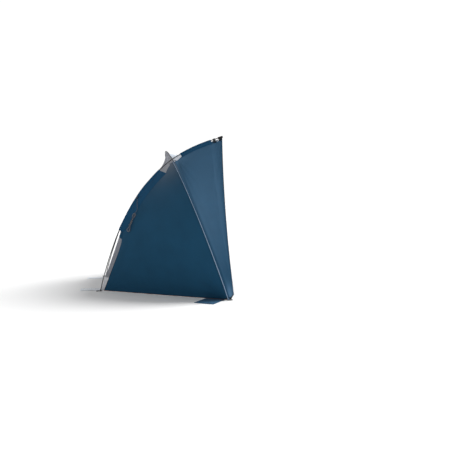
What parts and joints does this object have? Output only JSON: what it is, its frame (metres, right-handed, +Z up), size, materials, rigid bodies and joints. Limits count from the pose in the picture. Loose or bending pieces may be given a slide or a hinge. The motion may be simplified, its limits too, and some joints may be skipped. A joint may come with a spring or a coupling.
{
  "type": "beach tarp shelter",
  "caption": "Open-fronted beach tarp shelter: side poles and a leaning hoop pole hold sewn fabric panels, with a roof vent, a mesh rear window, ground flaps and a guyline.",
  "frame": {"origin": "on the ground, below the centre of the overall box of the pitched shelter without its guyline", "axes": "+X across the shelter from its left side panel to its right one, -Y out of the open front, +Z up"},
  "size_m": [2.4838, 1.2464, 1.352],
  "materials": {
    "body_fabric": "matte",
    "wing_fabric": "matte",
    "sleeve_fabric": "matte",
    "grey_mesh": "matte",
    "groundsheet_film": "satin",
    "pale_fabric": "matte",
    "webbing": "matte",
    "fibreglass": "satin",
    "ferrule": "satin",
    "black_plastic": "satin",
    "elastic_cord": "matte",
    "guyline_cord": "matte"
  },
  "bodies": {
    "shelter": {"groundsheet": "groundsheet_film", "guyline": "guyline_cord", "guyline_hank": "guyline_cord", "hoop_ferrule_1": "ferrule", "hoop_ferrule_2": "ferrule", "hoop_ferrule_3": "ferrule", "hoop_ferrule_4": "ferrule", "hoop_ferrule_5": "ferrule", "hoop_rod_1": "fibreglass", "hoop_rod_2": "fibreglass", "hoop_rod_3": "fibreglass", "hoop_rod_4": "fibreglass", "hoop_rod_5": "fibreglass", "hoop_rod_6": "fibreglass", "hoop_shock_cord": "elastic_cord", "left_front_sleeve": "sleeve_fabric", "left_front_wing": "wing_fabric", "left_hoop_foot_strap": "webbing", "left_hoop_foot_tip": "black_plastic", "left_hoop_sleeve": "sleeve_fabric", "left_pole_ferrule_1": "ferrule", "left_pole_ferrule_2": "ferrule", "left_pole_rod_1": "fibreglass", "left_pole_rod_2": "fibreglass", "left_pole_rod_3": "fibreglass", "left_pole_shock_cord": "elastic_cord", "left_rear_foot_strap": "webbing", "left_rear_foot_tip": "black_plastic", "left_rear_sleeve": "sleeve_fabric", "left_roof_clip": "black_plastic", "left_roof_cup": "black_plastic", "left_roof_tip": "black_plastic", "left_side_panel": "body_fabric", "rear_kick_strip": "groundsheet_film", "rear_panel": "body_fabric", "rear_window_mesh": "grey_mesh", "right_front_sleeve": "sleeve_fabric", "right_front_wing": "wing_fabric", "right_hoop_foot_strap": "webbing", "right_hoop_foot_tip": "black_plastic", "right_hoop_sleeve": "sleeve_fabric", "right_pole_ferrule_1": "ferrule", "right_pole_ferrule_2": "ferrule", "right_pole_rod_1": "fibreglass", "right_pole_rod_2": "fibreglass", "right_pole_rod_3": "fibreglass", "right_pole_shock_cord": "elastic_cord", "right_rear_foot_strap": "webbing", "right_rear_foot_tip": "black_plastic", "right_rear_sleeve": "sleeve_fabric", "right_roof_clip": "black_plastic", "right_roof_cup": "black_plastic", "right_roof_tip": "black_plastic", "right_side_panel": "body_fabric", "roof_panel": "body_fabric", "vent_mesh": "grey_mesh"},
    "left_front_flap": {"left_front_flap": "wing_fabric"},
    "left_rear_flap": {"left_rear_flap": "pale_fabric"},
    "right_front_flap": {"right_front_flap": "wing_fabric"},
    "right_rear_flap": {"right_rear_flap": "pale_fabric"}
  },
  "joints": [
    {"name": "left_front_flap_fold", "type": "hinge", "parent": "shelter", "child": "left_front_flap", "pos_m": [-1.05614, -0.55234, 0.001], "axis": [0.5231, 0.8523, 0], "range_deg": [0, 70]},
    {"name": "left_rear_flap_fold", "type": "hinge", "parent": "shelter", "child": "left_rear_flap", "pos_m": [-0.376, 0.45325, 0.001], "axis": [1, 0, 0], "range_deg": [0, 100]},
    {"name": "right_front_flap_fold", "type": "hinge", "parent": "shelter", "child": "right_front_flap", "pos_m": [1.05614, -0.55234, 0.001], "axis": [0.5231, -0.8523, 0], "range_deg": [0, 70]},
    {"name": "right_rear_flap_fold", "type": "hinge", "parent": "shelter", "child": "right_rear_flap", "pos_m": [0.376, 0.45325, 0.001], "axis": [1, 0, 0], "range_deg": [0, 100]}
  ]
}
